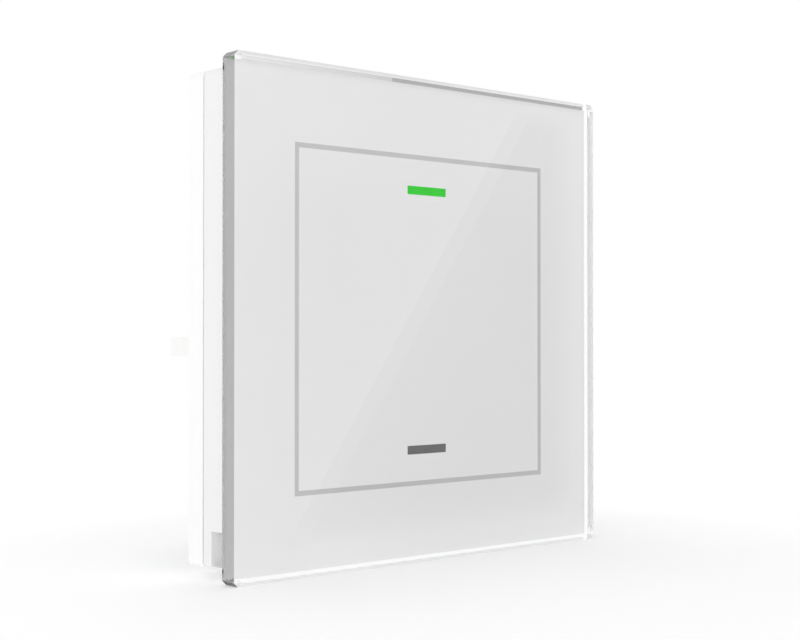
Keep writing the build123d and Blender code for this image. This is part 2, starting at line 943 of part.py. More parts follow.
for name, x in zip(pole_names, pole_places()):
    nodes[name + "_clamp"] = clamp(x)
    nodes[name + "_screw"] = terminal_screw(x)

os.makedirs("parts", exist_ok=True)
for name, shape in nodes.items():
    export_step(shape, os.path.join("parts", name + ".step"))
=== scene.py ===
import json
import math
import bmesh
import bpy
from mathutils import Matrix, Vector

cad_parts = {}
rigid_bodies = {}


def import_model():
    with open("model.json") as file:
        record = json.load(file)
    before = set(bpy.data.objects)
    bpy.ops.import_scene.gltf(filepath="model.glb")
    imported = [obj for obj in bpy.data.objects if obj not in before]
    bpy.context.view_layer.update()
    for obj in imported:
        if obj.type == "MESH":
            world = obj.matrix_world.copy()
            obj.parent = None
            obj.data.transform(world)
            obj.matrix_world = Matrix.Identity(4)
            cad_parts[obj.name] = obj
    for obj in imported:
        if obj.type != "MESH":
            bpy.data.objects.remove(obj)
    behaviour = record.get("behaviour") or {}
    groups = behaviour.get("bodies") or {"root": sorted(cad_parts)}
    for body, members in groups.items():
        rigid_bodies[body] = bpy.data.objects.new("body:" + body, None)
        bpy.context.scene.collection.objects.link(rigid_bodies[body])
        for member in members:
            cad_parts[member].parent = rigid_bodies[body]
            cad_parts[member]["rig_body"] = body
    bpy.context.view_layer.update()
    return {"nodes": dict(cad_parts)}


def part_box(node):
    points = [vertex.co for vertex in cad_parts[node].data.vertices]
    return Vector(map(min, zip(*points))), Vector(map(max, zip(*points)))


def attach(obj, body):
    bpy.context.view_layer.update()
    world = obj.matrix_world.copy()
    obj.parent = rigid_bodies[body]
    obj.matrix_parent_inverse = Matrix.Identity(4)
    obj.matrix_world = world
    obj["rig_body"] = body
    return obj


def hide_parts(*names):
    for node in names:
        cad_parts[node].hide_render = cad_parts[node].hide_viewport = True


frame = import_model()
print("frame loaded")

mm = 0.001
quarter = math.radians(90)
scene = bpy.context.scene


# One socket of a node tree. Sums and products on it add Math nodes, or Vector Math nodes for vectors.

class Value:
    def __init__(self, maker, socket):
        self.maker = maker
        self.socket = socket

    def maths(self, operation, *others):
        return self.maker.maths(operation, self, *others)

    def out(self, name):
        return Value(self.maker, self.socket.node.outputs[name])

    def __add__(self, other):
        return self.maths("ADD", other)

    def __sub__(self, other):
        return self.maths("SUBTRACT", other)

    def __rsub__(self, other):
        return self.maker.maths("SUBTRACT", other, self)

    def __mul__(self, other):
        return self.maths("MULTIPLY", other)

    def __truediv__(self, other):
        return self.maths("DIVIDE", other)

    def __gt__(self, other):
        return self.maths("GREATER_THAN", other)

    def __lt__(self, other):
        return self.maths("LESS_THAN", other)

    __radd__ = __add__
    __rmul__ = __mul__


# Adds nodes to a tree: a node's settings first, then the values or links of its sockets

class Maker:
    def __init__(self, tree):
        self.tree = tree

    def fill(self, socket, value):
        if isinstance(value, Value):
            self.tree.links.new(value.socket, socket)
        elif isinstance(value, list):
            for one in value:
                self.fill(socket, one)
        elif isinstance(value, tuple) and any(isinstance(one, Value) for one in value):
            self.fill(socket, self.join(*value))
        elif isinstance(value, tuple) and socket.type == "RGBA":
            socket.default_value = (*value, 1)
        elif isinstance(value, (int, float)) and socket.type == "VECTOR":
            socket.default_value = (value, value, value)
        else:
            socket.default_value = value

    def node(self, kind, settings=None, sockets=None, output=0):
        node = self.tree.nodes.new(kind)
        for name, value in (settings or {}).items():
            if name == "items":
                for extra in range(value - 2):
                    node.index_switch_items.new()
            else:
                setattr(node, name, value)
        if not isinstance(sockets, dict):
            sockets = dict(enumerate(sockets or []))
        for name, value in sockets.items():
            self.fill(node.inputs[name], value)
        return Value(self, node.outputs[output]) if node.outputs else None

    def maths(self, operation, *values):
        vector = any(isinstance(one, Value) and one.socket.type == "VECTOR" for one in values)
        kind = "ShaderNodeVectorMath" if vector else "ShaderNodeMath"
        return self.node(kind, {"operation": operation}, list(values))

    def split(self, vector):
        parts = self.node("ShaderNodeSeparateXYZ", None, [vector])
        return parts, parts.out("Y"), parts.out("Z")

    def join(self, x, y, z):
        return self.node("ShaderNodeCombineXYZ", None, [x, y, z])


# A surface finish: a Principled shader whose colour, roughness and bump come from nodes

class Finish(Maker):
    def __init__(self, name, shader):
        self.material = bpy.data.materials.new(name)
        self.material.use_nodes = True
        super().__init__(self.material.node_tree)
        self.shader = self.tree.nodes["Principled BSDF"]
        self.set(shader)

    def set(self, values):
        for name, value in values.items():
            self.fill(self.shader.inputs[name], value)

    def coat(self, colour, roughness):
        self.set({"Base Color": colour, "Roughness": roughness})

    def surface(self, value):
        self.fill(self.tree.nodes["Material Output"].inputs["Surface"], value)

    def lit(self):
        return Value(self, self.shader.outputs[0])

    def coordinates(self):
        return self.node("ShaderNodeTexCoord", output="Object")

    def place(self, scale=(1, 1, 1), turn=(0, 0, 0), shift=(0, 0, 0)):
        sockets = {"Vector": self.coordinates(), "Scale": scale, "Rotation": turn, "Location": shift}
        return self.node("ShaderNodeMapping", None, sockets)

    def noise(self, scale, detail=3, roughness=0.5, stretch=(1, 1, 1)):
        sockets = {"Vector": self.place(stretch), "Scale": scale, "Detail": detail, "Roughness": roughness}
        return self.node("ShaderNodeTexNoise", None, sockets)

    def grain(self, scale, stretch=(1, 1, 1)):
        return self.node("ShaderNodeTexVoronoi", None, {"Vector": self.place(stretch), "Scale": scale})

    def spread(self, value, low=0, high=1, start=0.35, end=0.65):
        sockets = {"Value": value, "From Min": start, "From Max": end, "To Min": low, "To Max": high}
        return self.node("ShaderNodeMapRange", None, sockets)

    def between(self, share, first, second):
        return self.node("ShaderNodeMix", {"data_type": "RGBA"}, {0: share, 6: first, 7: second}, 2)

    def bump(self, height, distance, strength=1.0):
        sockets = {"Height": height, "Distance": distance, "Strength": strength}
        self.set({"Normal": self.node("ShaderNodeBump", None, sockets)})


def shade(colour, factor):
    return tuple(channel * factor for channel in colour)


def toned(colour, factors):
    return tuple(channel * factor for channel, factor in zip(colour, factors))


# Fine spark texture of a moulded part, with a faint change of tone over its faces
def moulding(name, colour, rough=0.42, tooth=0.006):
    finish = Finish(name, {"Specular IOR Level": 0.45})
    tone = finish.spread(finish.noise(35, 4))
    texture = finish.noise(5200, 2)
    finish.coat(finish.between(tone, shade(colour, 0.985), colour),
                finish.spread(texture, rough - 0.05, rough + 0.06))
    finish.bump(texture, tooth * mm, 0.5)
    return finish.material


# Rolled or plated metal: streaks along one axis under a cloudy plating
def platedMetal(name, colour, rough, stretch=(1, 1, 1), warm=(0.98, 0.98, 1.0)):
    finish = Finish(name, {"Metallic": 1.0})
    cloud = finish.noise(120, 5, 0.6)
    streak = finish.noise(2600, 3, 0.6, stretch)
    tint = toned(colour, warm)
    wear = finish.spread(streak + cloud * 0.5, rough - 0.08, rough + 0.12, 0.5, 1.0)
    finish.coat(finish.between(finish.spread(cloud), shade(colour, 0.88), tint), wear)
    finish.bump(streak, 0.002 * mm, 0.6)
    return finish.material


# Zinc plating passivated with a bluish and yellowish bloom, over punched sheet steel
def zincSheet(name, colour, rough):
    finish = Finish(name, {"Metallic": 1.0})
    bloom = finish.noise(60, 4, 0.6)
    streak = finish.noise(1800, 3, 0.6, (0.05, 1, 1))
    cool = finish.between(finish.spread(bloom), colour, toned(colour, (0.93, 0.95, 0.98)))
    warmth = finish.spread(finish.noise(85, 3), 0, 1, 0.55, 0.75)
    warm = finish.between(warmth, cool, toned(colour, (1.02, 1.0, 0.94)))
    finish.coat(warm, finish.spread(streak, rough - 0.07, rough + 0.1))
    finish.bump(streak, 0.003 * mm, 0.5)
    return finish.material


# Pressed powder or fired body: small dark specks in an even ground
def pressed(name, colour, rough=0.55):
    finish = Finish(name, {})
    speck = finish.grain(4200)
    finish.coat(finish.between(finish.spread(speck, 0, 1, 0.1, 0.6), shade(colour, 0.8), colour),
                finish.spread(finish.noise(3000), rough - 0.1, rough + 0.1))
    finish.bump(speck, 0.004 * mm, 0.4)
    return finish.material


# Glass lets the lamps' rays through, so that the print behind it is lit. Edge glass darkens what enters there with
# a grey tint: painted shade in place of the light lost inside the glass at its sides.
def clearGlass(name, rough, waves, waveHeight, colour, tint=None):
    finish = Finish(name, {"Transmission Weight": 1.0, "IOR": 1.45, "Roughness": rough, "Base Color": colour})
    if tint:
        leaving = finish.node("ShaderNodeNewGeometry", output="Backfacing")
        finish.set({"Base Color": finish.between(leaving, tint, colour)})
    finish.bump(finish.noise(waves, 2), waveHeight * mm, 0.5)
    lampRay = finish.node("ShaderNodeLightPath", output="Is Shadow Ray")
    through = finish.node("ShaderNodeBsdfTransparent", None, {"Color": (0.955, 0.955, 0.955)})
    finish.surface(finish.node("ShaderNodeMixShader", None, [lampRay, finish.lit(), through]))
    return finish.material


def enamel(name, low, high):
    finish = Finish(name, {"Specular IOR Level": 0.3})
    finish.coat(finish.between(finish.spread(finish.noise(18, 4)), (low,) * 3, (high,) * 3),
                finish.spread(finish.noise(900), 0.42, 0.56))
    finish.bump(finish.noise(1400), 0.003 * mm, 0.4)
    return finish.material


# Halftone dots of a screen print
def ink(name, dark, light):
    finish = Finish(name, {"Specular IOR Level": 0.2, "Roughness": 0.6})
    dots = finish.spread(finish.grain(5200), 0, 1, 0.1, 0.7)
    finish.set({"Base Color": finish.between(dots, (light,) * 3, (dark,) * 3)})
    return finish.material


# The lit window is a little brighter where its two lamps stand behind it
def litWindow(name, lampSpacing, dim, bright):
    finish = Finish(name, {"Specular IOR Level": 0.15, "Base Color": (0.002, 0.016, 0.002)})
    across = finish.split(finish.coordinates())[0]
    fromLamp = (across.maths("ABSOLUTE") - lampSpacing / 2 * mm).maths("ABSOLUTE") / (lampSpacing * mm)
    glow = finish.between(finish.spread(fromLamp, 1, 0, 0, 1), dim, bright)
    finish.set({"Emission Color": glow, "Emission Strength": 1.0,
                "Roughness": finish.spread(finish.noise(2000), 0.3, 0.4)})
    return finish.material


def darkWindow(name, low, high):
    finish = Finish(name, {"Specular IOR Level": 0.3})
    finish.coat(finish.between(finish.noise(900), (low,) * 3, (high,) * 3),
                finish.spread(finish.noise(2000), 0.3, 0.4))
    return finish.material


# Solder mask over glass weave, with copper tracks raised under it
def circuitBoard(name):
    finish = Finish(name, {"Coat Roughness": 0.2})
    sockets = {"Vector": finish.place((420, 420, 420), (quarter, 0, 0)), "Scale": 1.0,
               "Mortar Size": 0.06, "Color1": (0, 0, 0), "Color2": (0, 0, 0), "Mortar": (1, 1, 1)}
    tracks = finish.node("ShaderNodeTexBrick", {"offset": 0.37, "squash": 1.6}, sockets)
    weave = finish.noise(2600, 1)
    mask = finish.between(weave, (0.012, 0.15, 0.055), (0.018, 0.19, 0.075))
    finish.coat(finish.between(tracks, mask, (0.045, 0.30, 0.11)), finish.spread(weave, 0.25, 0.4))
    finish.bump(tracks.out("Fac"), 0.02 * mm, 0.5)
    return finish.material


# Enamelled copper wire, in two warm tones
def enamelledWire(name):
    finish = Finish(name, {"Metallic": 0.7})
    warm = finish.spread(finish.noise(300, 3))
    finish.coat(finish.between(warm, (0.62, 0.38, 0.06), (0.80, 0.56, 0.12)),
                finish.spread(finish.noise(2200), 0.22, 0.34))
    return finish.material


def foam(name, colour):
    finish = Finish(name, {"Roughness": 0.9, "Specular IOR Level": 0.2})
    cells = finish.grain(2400)
    # The cells are darker at their middles, where the bump sinks: painted shade in the pores
    finish.set({"Base Color": finish.between(finish.spread(cells, 0, 1, 0.1, 0.6), shade(colour, 0.6), colour)})
    finish.bump(cells, 0.08 * mm, 0.7)
    return finish.material


finishes = {made.name: made for made in (
    clearGlass("glassFace", 0.0, 25, 0.002, (0.98, 0.98, 0.98)),
    # Edge and corner glass carry painted shade: grey on the side faces, near black on the corner facets
    clearGlass("glassEdge", 0.0, 60, 0.0003, (0.98, 0.98, 0.98), (0.32, 0.32, 0.32)),
    clearGlass("glassCorner", 0.0, 60, 0.0003, (0.98, 0.98, 0.98), (0.05, 0.05, 0.05)),
    clearGlass("clearAcrylic", 0.02, 400, 0.004, (0.96, 0.97, 0.97)),
    enamel("whiteEnamel", 0.775, 0.79),
    ink("greyInk", 0.505, 0.565),
    litWindow("litWindow", 4.4, (0.004, 0.48, 0.004), (0.007, 0.56, 0.006)),
    darkWindow("darkWindow", 0.135, 0.16),
    foam("foamTape", (0.84, 0.84, 0.82)),
    moulding("panelPlastic", (0.86, 0.86, 0.86), 0.45),
    moulding("housingPlastic", (0.86, 0.86, 0.86), 0.48),
    moulding("basePlastic", (0.94, 0.94, 0.94), 0.48),
    moulding("modulePlastic", (0.80, 0.80, 0.79), 0.5, 0.01),
    moulding("terminalPlastic", (0.96, 0.96, 0.95), 0.4, 0.008),
    moulding("blackPlastic", (0.03, 0.03, 0.032), 0.4, 0.008),
    moulding("chipBlack", (0.022, 0.022, 0.024), 0.55, 0.01),
    foam("conductiveFoam", (0.035, 0.035, 0.037)),
    pressed("lampBody", (0.82, 0.82, 0.78), 0.4),
    pressed("lampPhosphor", (0.80, 0.66, 0.16), 0.3),
    circuitBoard("circuitBoard"),
    pressed("ceramicTan", (0.42, 0.30, 0.17)),
    platedMetal("tinnedBrass", (0.78, 0.68, 0.42), 0.28, (1, 0.05, 1), (1, 1, 0.94)),
    platedMetal("tinnedEnd", (0.72, 0.72, 0.72), 0.3),
    platedMetal("solder", (0.66, 0.67, 0.68), 0.24),
    zincSheet("zincSteel", (0.66, 0.67, 0.69), 0.38),
    platedMetal("springSteel", (0.56, 0.57, 0.59), 0.26, (0.06, 1, 1)),
    platedMetal("screwSteel", (0.68, 0.68, 0.69), 0.3),
    enamelledWire("enamelledWire"),
    moulding("bobbinYellow", (0.74, 0.57, 0.10), 0.45, 0.008),
    pressed("pressedFerrite", (0.055, 0.055, 0.06), 0.6),
    platedMetal("drawnAluminium", (0.80, 0.81, 0.83), 0.3, (1, 0.08, 1)),
    moulding("blueCase", (0.05, 0.12, 0.34), 0.3, 0.004),
)}
print("finishes made")


# Meshes. A piece is named after its CAD node, but for these.

otherNames = {"front_glass": "glassPlate", "fuse": "fuseBody", "triac": "triacBody"}


def pieceName(node):
    first, *others = node.split("_")
    return otherNames.get(node, first + "".join(word.capitalize() for word in others))


# A piece takes the place of one CAD node, on its body
def newPiece(node, mesh, names):
    piece = bpy.data.objects.new(pieceName(node), mesh)
    scene.collection.objects.link(piece)
    for name in names:
        mesh.materials.append(finishes[name])
    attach(piece, frame["nodes"][node]["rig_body"])
    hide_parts(node)


def meshOf(name, shape):
    mesh = bpy.data.meshes.new(name)
    shape.to_mesh(mesh)
    shape.free()
    return mesh


# What an object shows with its modifiers, as a plain mesh
def evaluatedMesh(holder, name):
    evaluated = holder.evaluated_get(bpy.context.evaluated_depsgraph_get())
    mesh = bpy.data.meshes.new_from_object(evaluated)
    holder.modifiers.clear()
    bpy.data.objects.remove(holder)
    mesh.name = name
    return mesh


# Smooth shading up to an angle, in which the large flat faces stay flat and mirror truly
def smoothed(mesh, degrees=32):
    for face in mesh.polygons:
        face.use_smooth = True
    mesh.set_sharp_from_angle(angle=math.radians(degrees))
    holder = bpy.data.objects.new("shadingHolder", mesh)
    scene.collection.objects.link(holder)
    even = holder.modifiers.new("evenNormals", "WEIGHTED_NORMAL")
    even.keep_sharp = True
    even.weight = 100
    return evaluatedMesh(holder, mesh.name)


# Box of a CAD node in millimetres
class Reach:
    def __init__(self, node):
        self.low, self.high = (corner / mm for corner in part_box(node))
        self.middle = (self.low + self.high) / 2
        self.size = self.high - self.low
        self.front = (self.middle.x, self.low.y, self.middle.z)
        self.rear = (self.middle.x, self.high.y, self.middle.z)
        self.foot = (self.middle.x, self.middle.y, self.low.z)


mergeDistance = 0.0005
flatBelow = math.radians(0.6)
sharpFrom = math.radians(35)


def rounded(shape, width, angle, clamped):
    edges = [edge for edge in shape.edges if edge.is_manifold and edge.calc_face_angle(0) > angle]
    bmesh.ops.bevel(shape, geom=edges, offset=width * mm, offset_type="OFFSET", segments=2,
                    profile=0.5, affect="EDGES", clamp_overlap=clamped)


# A copy of a CAD node with its doubles merged and its sharp edges rounded
def softenedMesh(node, width):
    shape = bmesh.new()
    shape.from_mesh(frame["nodes"][node].data)
    bmesh.ops.remove_doubles(shape, verts=shape.verts, dist=mergeDistance * mm)
    bmesh.ops.dissolve_limit(shape, angle_limit=flatBelow, verts=shape.verts, edges=shape.edges)
    rounded(shape, width, sharpFrom, False)
    bmesh.ops.triangulate(shape, faces=[face for face in shape.faces if len(face.verts) > 4])
    return meshOf(node, shape)


# Geometry Nodes: each tree works in millimetres and has named inputs for its sizes

hair = 0.01  # keeps a whole number from being cut to the one below


class Growth(Maker):
    def __init__(self, name, sizes):
        super().__init__(bpy.data.node_groups.new(name, "GeometryNodeTree"))
        sockets = self.tree.interface
        sockets.new_socket("Geometry", in_out="INPUT", socket_type="NodeSocketGeometry")
        sockets.new_socket("Geometry", in_out="OUTPUT", socket_type="NodeSocketGeometry")
        kinds = {int: "NodeSocketInt", float: "NodeSocketFloat", tuple: "NodeSocketVector"}
        self.keys = {label: sockets.new_socket(label, in_out="INPUT", socket_type=kinds[type(value)]).identifier
                     for label, value in sizes.items()}
        self.entry = self.node("NodeGroupInput")

    def size(self, *labels):
        values = [self.entry.out(label) for label in labels]
        return values if len(values) > 1 else values[0]

    def moved(self, shape, shift=(0, 0, 0), turn=(0, 0, 0), scale=1):
        return self.node("GeometryNodeTransform", None, [shape, shift, turn, scale])

    def joined(self, *shapes):
        return self.node("GeometryNodeJoinGeometry", None, {0: list(shapes)})

    def pick(self, index, values):
        sockets = [index.maths("ROUND") + hair, *values]
        return self.node("GeometryNodeIndexSwitch", {"data_type": "FLOAT", "items": len(values)}, sockets)

    def realized(self, shape):
        return self.node("GeometryNodeRealizeInstances", None, [shape])

    def cut(self, shape, tool):
        settings = {"operation": "DIFFERENCE", "solver": "EXACT"}
        return self.node("GeometryNodeMeshBoolean", settings, {0: shape, 1: tool})

    def marked(self, shape, name):
        sockets = [shape, True, name, True]
        return self.node("GeometryNodeStoreNamedAttribute", {"data_type": "BOOLEAN", "domain": "FACE"}, sockets)

    # A box with rounded edges and corners
    def roundedBox(self, x, y, z, rounding):
        size = self.join(x, y, z)
        cube = self.node("GeometryNodeMeshCube", None, [size, 4, 4, 4])
        place = self.node("GeometryNodeInputPosition")
        half = size * 0.5
        side = place.maths("SIGN")
        lean = side * (place.maths("ABSOLUTE") / half + hair).maths("FLOOR")
        corner = side * (half - rounding) + lean.maths("NORMALIZE") * rounding
        return self.node("GeometryNodeSetPosition", None, {0: cube, 2: corner})

    # A grid rolled up about the upright axis, where along gives each row's radius and height
    def rolled(self, rows, steps, along):
        grid = self.node("GeometryNodeMeshGrid", None, [1.0, 1.0, steps + 1, rows])
        across, up = self.split(self.node("GeometryNodeInputPosition"))[:2]
        turn = across + 0.5
        row = ((up + 0.5) * (rows - 1)).maths("ROUND")
        radius, height = along(row, turn)
        angle = turn * math.tau
        place = (radius * angle.maths("COSINE"), radius * angle.maths("SINE"), height)
        closed = self.node("GeometryNodeSetPosition", None, {0: grid, 2: place})
        return self.node("GeometryNodeMergeByDistance", None, {0: closed, 2: mergeDistance})

    # A turned part from the radius and height of each row, from its foot to its top
    def turned(self, profile, steps):
        radii, heights = zip(*profile)
        return self.rolled(len(profile), steps, lambda row, turn: (self.pick(row, radii), self.pick(row, heights)))

    # Copies on a grid of points about the middle
    def repeated(self, shape, columns, pitchX, rows, pitchY, rotation=(0, 0, 0)):
        sockets = [(columns - 1) * pitchX, (rows - 1) * pitchY, columns, rows]
        points = self.node("GeometryNodeMeshGrid", None, sockets)
        return self.node("GeometryNodeInstanceOnPoints", None, {0: points, 2: shape, 5: rotation})

    # Last nodes of every tree: into the part's frame, with what the seed mesh holds, then the finishes
    def finished(self, shape, finish, others=()):
        shape = self.moved(shape, self.size("Place") * mm, self.size("Turn"), mm)
        shape = self.joined(shape, self.entry)
        shape = self.realized(shape)
        shape = self.node("GeometryNodeSetMaterial", None, {0: shape, 2: finishes[finish]})
        for mark, other in others:
            share = self.node("GeometryNodeInputNamedAttribute", {"data_type": "BOOLEAN"}, [mark])
            shape = self.node("GeometryNodeSetMaterial", None, {0: shape, 1: share, 2: finishes[other]})
        self.node("NodeGroupOutput", None, [shape])
        return self


# Steps round each turned shape and along each bent path
around = {"screw": 28, "clip": 60, "drill": 24, "wire": 8, "winding": 40, "can": 48, "joint": 16}

# Where a grown piece stands, with its own upright axis towards the wall or away from it
toWall = {"Place": (0.0, 0.0, 0.0), "Turn": (-quarter, 0.0, 0.0)}
toFront = {"Place": (0.0, 0.0, 0.0), "Turn": (quarter, 0.0, 0.0)}


# The tree's result as a plain mesh. A seed mesh is carried through the tree.
def grown(growth, node, sizes, seed=None):
    name = pieceName(node)
    holder = bpy.data.objects.new(name + "Seed", seed or bpy.data.meshes.new(name + "Seed"))
    scene.collection.objects.link(holder)
    modifier = holder.modifiers.new("growth", "NODES")
    modifier.node_group = growth.tree
    for label, key in growth.keys.items():
        modifier[key] = sizes[label]
    mesh = evaluatedMesh(holder, name)
    for place in reversed([place for place, finish in enumerate(mesh.materials) if finish is None]):
        mesh.materials.pop(index=place)
    for mark in [one.name for one in mesh.attributes if one.name.startswith("mark")]:
        mesh.attributes.remove(mesh.attributes[mark])
    newPiece(node, smoothed(mesh), [])


# Glass plate: rings of eight corners from the rear arris to the front bevel, with polished edges

glassSettings = {
    "half": 40.5, "front": -15.5, "rear": -11.5, "bevel": 0.7, "corner": 0.7, "arris": 0.15, "polish": 0.05,
    "edgeFrom": 20, "smoothTo": 30, "sideLean": 0.4, "cornerLean": 0.25,
}


def glassRing(shape, inset, depth):
    half = glassSettings["half"] - inset
    cut = glassSettings["corner"] - inset * (2 - math.sqrt(2))
    near = half - cut
    corners = [(half, -near), (half, near), (near, half), (-near, half),
               (-half, near), (-half, -near), (-near, -half), (near, -half)]
    return [shape.verts.new((x * mm, depth * mm, z * mm)) for x, z in corners]


def makeGlass():
    s = glassSettings
    shape = bmesh.new()
    rings = [glassRing(shape, s["arris"], s["rear"]), glassRing(shape, 0, s["rear"] - s["arris"]),
             glassRing(shape, 0, s["front"] + s["bevel"]), glassRing(shape, s["bevel"], s["front"])]
    shape.faces.new(rings[0][::-1])
    shape.faces.new(rings[-1])
    for ring, following in zip(rings, rings[1:]):
        for i in range(8):
            j = (i + 1) % 8
            shape.faces.new((ring[i], ring[j], following[j], following[i]))
    bmesh.ops.recalc_face_normals(shape, faces=shape.faces)
    rounded(shape, s["polish"], math.radians(s["edgeFrom"]), True)
    # Side faces take the edge glass and corner facets the corner glass, both with painted shade
    for face in shape.faces:
        across, depth, up = (abs(part) for part in face.normal)
        if depth < s["sideLean"]:
            face.material_index = 2 if min(across, up) > s["cornerLean"] else 1
    mesh = smoothed(meshOf("glassPlate", shape), s["smoothTo"])
    newPiece("front_glass", mesh, ["glassFace", "glassEdge", "glassCorner"])


makeGlass()


# Print on the back of the glass. It bites a hair into the glass, as fired enamel does, so no air lies between.

printSettings = {
    "half": 39.65, "squareHalf": 27.85, "line": 0.8, "windowWidth": 8.7, "windowHeight": 1.45,
    "windowPlace": 21.85, "bite": 0.01, "rear": -11.38, "inkThickness": 0.05,
}


# A plate of cells, each with its own front depth, or none where the plate has a hole
def cellPlate(name, columns, rows, frontOf, rear):
    shape = bmesh.new()

    def corner(i, k, depth):
        return shape.verts.new((columns[i] * mm, depth * mm, rows[k] * mm))

    def front(i, k):
        if 0 <= i < len(columns) - 1 and 0 <= k < len(rows) - 1:
            middleX = (columns[i] + columns[i + 1]) / 2
            middleZ = (rows[k] + rows[k + 1]) / 2
            return frontOf(middleX, middleZ)
        return None

    for i in range(len(columns) - 1):
        for k in range(len(rows) - 1):
            depth = front(i, k)
            if depth is None:
                continue
            for level in (depth, rear):
                shape.faces.new([corner(i, k, level), corner(i + 1, k, level),
                                 corner(i + 1, k + 1, level), corner(i, k + 1, level)])
            sides = (((i - 1, k), (i, k), (i, k + 1)), ((i + 1, k), (i + 1, k), (i + 1, k + 1)),
                     ((i, k - 1), (i, k), (i + 1, k)), ((i, k + 1), (i, k + 1), (i + 1, k + 1)))
            for near, start, end in sides:
                beyond = front(*near)
                low = rear if beyond is None else beyond
                if low > depth:
                    shape.faces.new([corner(*start, depth), corner(*end, depth),
                                     corner(*end, low), corner(*start, low)])
    bmesh.ops.remove_doubles(shape, verts=shape.verts, dist=mergeDistance * mm)
    bmesh.ops.recalc_face_normals(shape, faces=shape.faces)
    return meshOf(name, shape)


def makePrint():
    s = printSettings
    glassRear = glassSettings["rear"]
    face = glassRear - s["bite"]
    inner = s["squareHalf"] - s["line"]
    wide = s["windowWidth"] / 2
    tall = s["windowHeight"] / 2
    low = s["windowPlace"] - tall
    high = s["windowPlace"] + tall
    columns = [-s["half"], -s["squareHalf"], -inner, -wide, wide, inner, s["squareHalf"], s["half"]]
    rows = [-s["half"], -s["squareHalf"], -inner, -high, -low, low, high, inner, s["squareHalf"], s["half"]]

    def onLine(x, z):
        return inner < max(abs(x), abs(z)) < s["squareHalf"]

    def onWindow(x, z):
        return abs(x) < wide and low < abs(z) < high

    def paint(x, z):
        if onWindow(x, z):
            return None
        return glassRear + s["inkThickness"] if onLine(x, z) else face

    newPiece("back_print", cellPlate("backPrint", columns, rows, paint, s["rear"]), ["whiteEnamel"])
    line = cellPlate("outlinePrint", columns, rows, lambda x, z: face if onLine(x, z) else None,
                     glassRear + s["inkThickness"])
    newPiece("outline_print", line, ["greyInk"])
    for name, side, finish, slot in (("upper", 1, "litWindow", "lit_window"),
                                     ("lower", -1, "darkWindow", "dark_window")):
        pane = cellPlate(name + "Window", columns, rows,
                         lambda x, z: face if onWindow(x, z) and z * side > 0 else None, s["rear"])
        newPiece(name + "_window", pane, [finish])


makePrint()
print("glass panel made")


# Screws, from the tip upwards: a cut thread, a rounded head and a driver slot

screwSizes = {
    "Shank Radius": 1.25, "Thread Depth": 0.24, "Thread Pitch": 0.45, "Length": 9.33, "Head Radius": 2.3,
    "Head Height": 1.4, "Head Rounding": 0.35, "Slot Width": 0.6, "Slot Depth": 0.6, "Slot Swing": math.pi,
    "Seed": 4, "Columns": 2, "Spacing X": 65.0, "Rows": 2, "Spacing Y": 65.0, **toFront,
}
threadDetail = {"rowsPerTurn": 8, "crest": 1.25, "flank": 1.5, "tipShare": 0.8}


def screwTree():
    tree = Growth("slottedScrew", screwSizes)
    radius, depth, pitch, length = tree.size("Shank Radius", "Thread Depth", "Thread Pitch", "Length")
    head, height, rounding = tree.size("Head Radius", "Head Height", "Head Rounding")
    slotWidth, slotDepth = tree.size("Slot Width", "Slot Depth")
    foot = length - height
    steps = (foot / pitch * threadDetail["rowsPerTurn"]).maths("CEIL")
    headRadii = [head - rounding * 0.4, head, head, head - rounding * 0.3, head - rounding, 0.0]
    headHeights = [foot, foot + rounding * 0.4, length - rounding, length - rounding * 0.3, length, length]

    def along(row, turn):
        up = (row - 1) / steps * foot
        wave = (up / pitch - turn).maths("FRACT") * 2 - 1
        ridge = threadDetail["crest"] - wave.maths("ABSOLUTE") * threadDetail["flank"]
        ridge = ridge.maths("MAXIMUM", 0).maths("MINIMUM", 1)
        core = radius - depth
        shank = (core + depth * ridge).maths("MINIMUM", core * threadDetail["tipShare"] + up)
        onHead = row > steps + 1.5
        onShank = (row > 0.5) * (1 - onHead)
        step = (row - steps - 2).maths("MAXIMUM", 0)
        return (onShank * shank + onHead * tree.pick(step, headRadii),
                onShank * up + onHead * tree.pick(step, headHeights))

    screw = tree.rolled(steps + (2 + len(headRadii)), around["screw"], along)
    blade = tree.node("GeometryNodeMeshCube", None, [(head * 3, slotWidth, slotDepth * 2)])
    screw = tree.cut(screw, tree.moved(blade, (0, 0, length)))
    swing, seed = tree.size("Slot Swing", "Seed")
    turned = tree.node("FunctionNodeRandomValue", {"data_type": "FLOAT"}, {2: 0.0, 3: swing, 8: seed}, 1)
    screws = tree.repeated(screw, *tree.size("Columns", "Spacing X", "Rows", "Spacing Y"), (0, 0, turned))
    return tree.finished(screws, "screwSteel")


boardScrewSizes = {
    **screwSizes, "Shank Radius": 0.85, "Thread Depth": 0.2, "Thread Pitch": 0.6, "Head Radius": 1.9,
    "Head Height": 1.1, "Head Rounding": 0.3, "Seed": 9, **toWall,
}
terminalScrewSizes = {
    **screwSizes, "Shank Radius": 1.5, "Thread Depth": 0.28, "Thread Pitch": 0.5, "Head Radius": 2.2,
    "Head Height": 1.2, "Head Rounding": 0.3, "Slot Swing": 0.0, "Columns": 1, "Rows": 1, "Turn": (0.0, 0.0, 0.0),
}

slottedScrew = screwTree()
for node, sizes, side in (("housing_screws", screwSizes, "rear"), ("board_screws", boardScrewSizes, "front")):
    reach = Reach(node)
    head = 2 * sizes["Head Radius"]
    grown(slottedScrew, node, {
        **sizes, "Length": reach.size.y, "Spacing X": reach.size.x - head, "Spacing Y": reach.size.z - head,
        "Place": getattr(reach, side)})
for node in ("neutral_screw", "live_screw", "load_screw"):
    reach = Reach(node)
    grown(slottedScrew, node, {**terminalScrewSizes, "Length": reach.size.z, "Place": reach.foot})
print("screws made")


# Spring clips: a strip folded to a U with flared lips, along a filleted path

